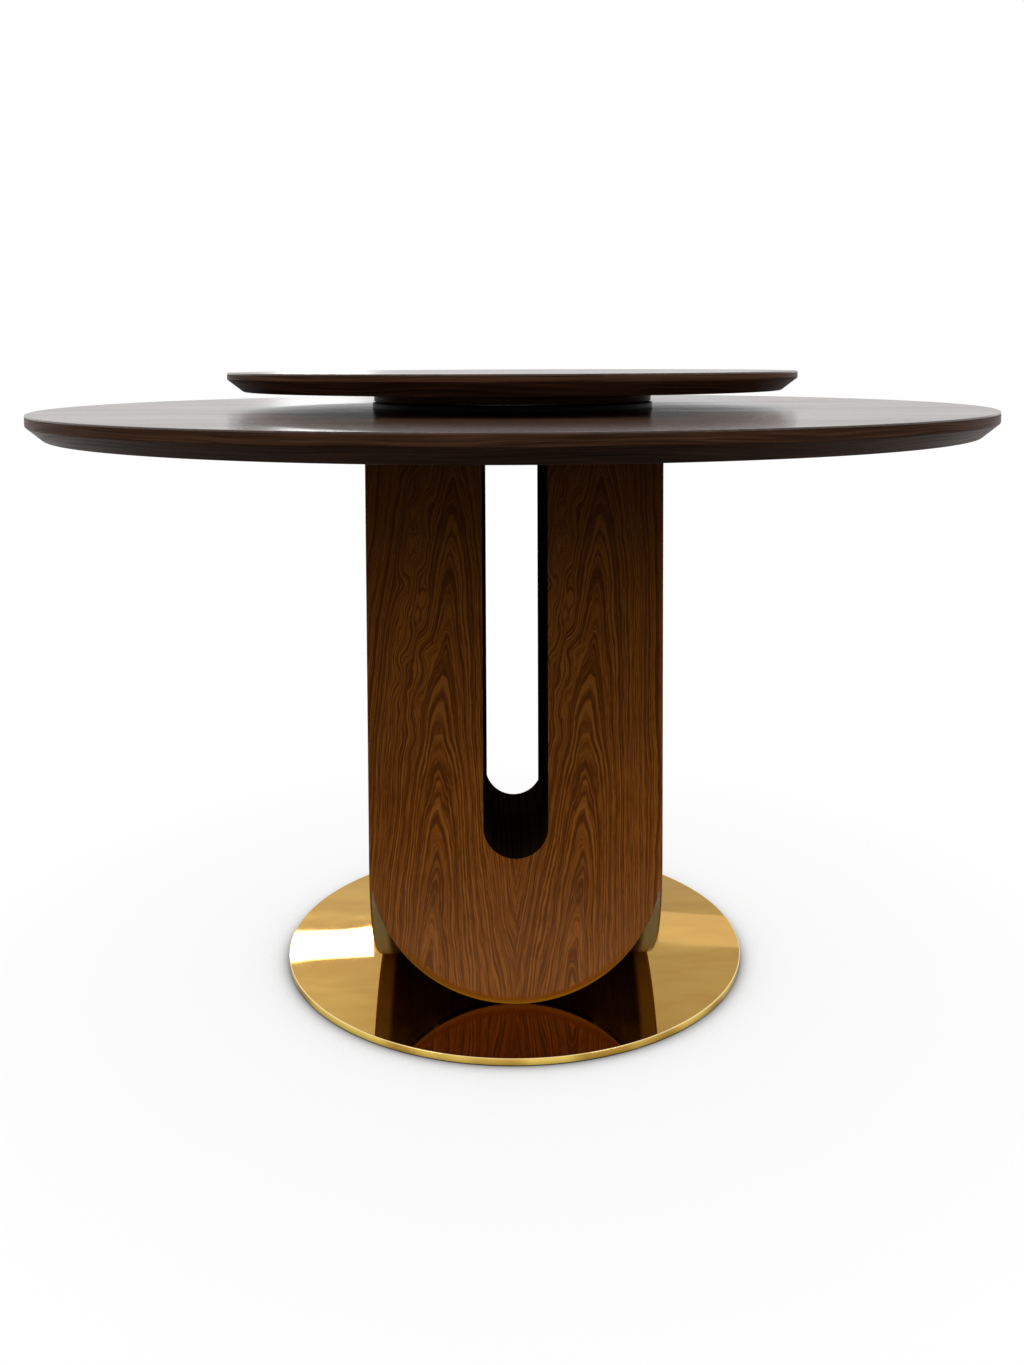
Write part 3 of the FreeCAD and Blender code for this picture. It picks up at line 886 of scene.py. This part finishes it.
tabletop = {
    "lipping": 0.048, "rim": 0.012, "chamfer": 0.021, "within": 0.0002,
    "rimEase": 0.0012, "toeEase": 0.001, "surfaceEase": 0.0014, "steps": 320,
}
piece = turnedLipping("tabletopLipping", "tabletop_lipping", tabletop)
dress(piece, "table", rimWood, "top_lipping", "tabletop_lipping")
piece = turnedSurface("tabletopSurface", "tabletop_surface", tabletop)
dress(piece, "table", topWood, "top_veneer", "tabletop_surface")

susan = {
    "lipping": 0.044, "rim": 0.0072, "chamfer": 0.0215, "within": 0.0,
    "rimEase": 0.001, "toeEase": 0.001, "surfaceEase": 0.0012, "steps": turning["steps"],
}
piece = turnedLipping("susanLipping", "susan_lipping", susan)
dress(piece, "turntable", rimWood, "top_lipping", "susan_lipping")
piece = turnedSurface("susanSurface", "susan_surface", susan)
dress(piece, "turntable", topWood, "top_veneer", "susan_surface")

plinth = {"footEase": 0.001}
radius, low, high = corners("susan_plinth")
outline = [(0, high), (radius, high), (radius, low), (0, low)]
piece = turned("susanPlinth", outline, [((radius, low), plinth["footEase"])])
# the plinth's walnut is painted lighter against the shade under the susan
dress(piece, "turntable", plinthWoodPaintedLighter, "top_lipping", "susan_plinth")

blackRing = {"bore": 0.11, "outerEase": 0.0012, "boreEase": 0.0006}
radius, low, high = corners("race_base")
bore = blackRing["bore"]
outline = [(bore, high), (radius, high), (radius, low), (bore, low)]
eased = [((radius, high), blackRing["outerEase"]), ((bore, high), blackRing["boreEase"])]
dress(turned("raceBase", outline, eased), "table", coating("black paint"), "black_paint", "race_base")
print("turned pieces made")


# Floor and world: white to the camera and in reflections, dim to all other rays; the floor's white carries a
# painted contact shadow near the plate

stageSet = {
    "floorRadius": 14.0,
    "floorSides": 96,
    "floor": 0.035,
    "floorVaries": 0.01,
    "floorNoise": (3.0, 2.0, 0.5),
    "floorReach": (0.3, 0.7),
    "floorRoughness": 0.9,
    "shownFloor": 0.9,
    "shadowShare": 0.12,
    "paintedContactShadow": 1.25,
    "contactFade": 0.7,
    "contactReach": 0.1,
    "contactSamples": 8,
    "horizon": 0.2,
    "overhead": 2.3,
    # direction, tightness and strength of the soft glows behind the table
    "glows": (((-0.15, 0.893, 0.43), 220.0, 0.55), ((0.19, 0.885, 0.42), 200.0, 0.15)),
}


def shinyRays(tree):
    rays = addNode(tree, "ShaderNodeLightPath").outputs
    return rays["Is Camera Ray"], larger(tree, rays["Is Glossy Ray"], rays["Is Transmission Ray"])


def floorMaterial():
    material, tree, shader = newMaterial("studio floor")
    seen = larger(tree, *shinyRays(tree))
    shader.inputs["Roughness"].default_value = stageSet["floorRoughness"]
    shader.inputs["Specular IOR Level"].default_value = 0.0
    grain = noise(tree, objectPlace(tree), *stageSet["floorNoise"])["Fac"]
    grain = spread(tree, grain, *stageSet["floorReach"])
    dark = stageSet["floor"]
    plain = blend(tree, grain, (dark,) * 3, (dark + stageSet["floorVaries"],) * 3)
    feed(tree, blend(tree, seen, plain, (stageSet["shownFloor"],) * 3), shader.inputs["Base Color"])
    # painted contact shadow: the floor's white, as the camera sees it, is darkened by ambient occlusion near
    # the plate
    near = addNode(
        tree, "ShaderNodeAmbientOcclusion", {"Distance": stageSet["contactReach"]},
        samples=stageSet["contactSamples"])
    shade = power(tree, minus(tree, 1.0, near.outputs["AO"]), stageSet["contactFade"])
    paintedShadowWhite = larger(tree, minus(tree, 1.0, times(tree, shade, stageSet["paintedContactShadow"])), 0.0)
    white = addNode(tree, "ShaderNodeEmission", {"Color": (1, 1, 1, 1), "Strength": paintedShadowWhite})
    mix = addNode(tree, "ShaderNodeMixShader", {
        0: times(tree, seen, 1.0 - stageSet["shadowShare"]), 1: shader.outputs[0], 2: white.outputs[0]})
    feed(tree, mix.outputs[0], tree.nodes["Material Output"].inputs["Surface"])
    return material


def studioWorld():
    world = bpy.data.worlds.new("studio")
    world.use_nodes = True
    tree = world.node_tree
    way = addNode(tree, "ShaderNodeTexCoord").outputs["Generated"]
    height = larger(tree, parts(tree, way)[2], 0.0)
    dome = timesPlus(tree, times(tree, height, height), stageSet["overhead"], stageSet["horizon"])
    mirrored = 1.0
    for place, tightness, strength in stageSet["glows"]:
        inputs = {0: way, 1: Vector(place).normalized()}
        towards = addNode(tree, "ShaderNodeVectorMath", inputs, operation="DOT_PRODUCT").outputs["Value"]
        mirrored = timesPlus(tree, power(tree, towards, tightness), strength, mirrored)
    direct, shiny = shinyRays(tree)
    background = tree.nodes["Background"]
    background.inputs["Color"].default_value = (1, 1, 1, 1)
    strength = choose(tree, direct, choose(tree, shiny, dome, mirrored), 1.0)
    feed(tree, strength, background.inputs["Strength"])
    return world


form = bmesh.new()
bmesh.ops.create_circle(
    form, cap_ends=True, segments=stageSet["floorSides"], radius=stageSet["floorRadius"])
mesh = bpy.data.meshes.new("floor")
form.to_mesh(mesh)
form.free()
mesh.materials.append(floorMaterial())
floor = bpy.data.objects.new("floor", mesh)
scene.collection.objects.link(floor)
scene.world = studioWorld()


# Lamps: two windows behind the table that shine on the plate, two low ones on the foot's edge

lamps = {
    "window left": {
        "place": (-0.69, 3.0, 1.447), "target": (-0.27, -0.03, 0.01), "size": (0.34, 0.102),
        "watts": 2.8, "spread": 180},
    "window right": {
        "place": (0.76, 3.0, 1.4), "target": (0.27, 0.0, 0.01), "size": (0.32, 0.115),
        "watts": 0.075, "spread": 180},
    "low left": {
        "place": (-0.62, -0.75, 0.06), "target": (-0.18, -0.15, 0.08), "size": (0.4, 0.08),
        "watts": 0.04, "spread": 45},
    "low right": {
        "place": (0.62, -0.75, 0.06), "target": (0.18, -0.15, 0.08), "size": (0.4, 0.08),
        "watts": 0.04, "spread": 45},
}
for name, look in lamps.items():
    data = bpy.data.lights.new(name, "AREA")
    data.shape = "RECTANGLE"
    data.size, data.size_y = look["size"]
    data.energy = look["watts"]
    data.spread = math.radians(look["spread"])
    lamp = bpy.data.objects.new(name, data)
    aim = (Vector(look["target"]) - Vector(look["place"])).to_track_quat("-Z", "Y")
    lamp.matrix_world = Matrix.Translation(look["place"]) @ aim.to_matrix().to_4x4()
    scene.collection.objects.link(lamp)
print("stage lit")
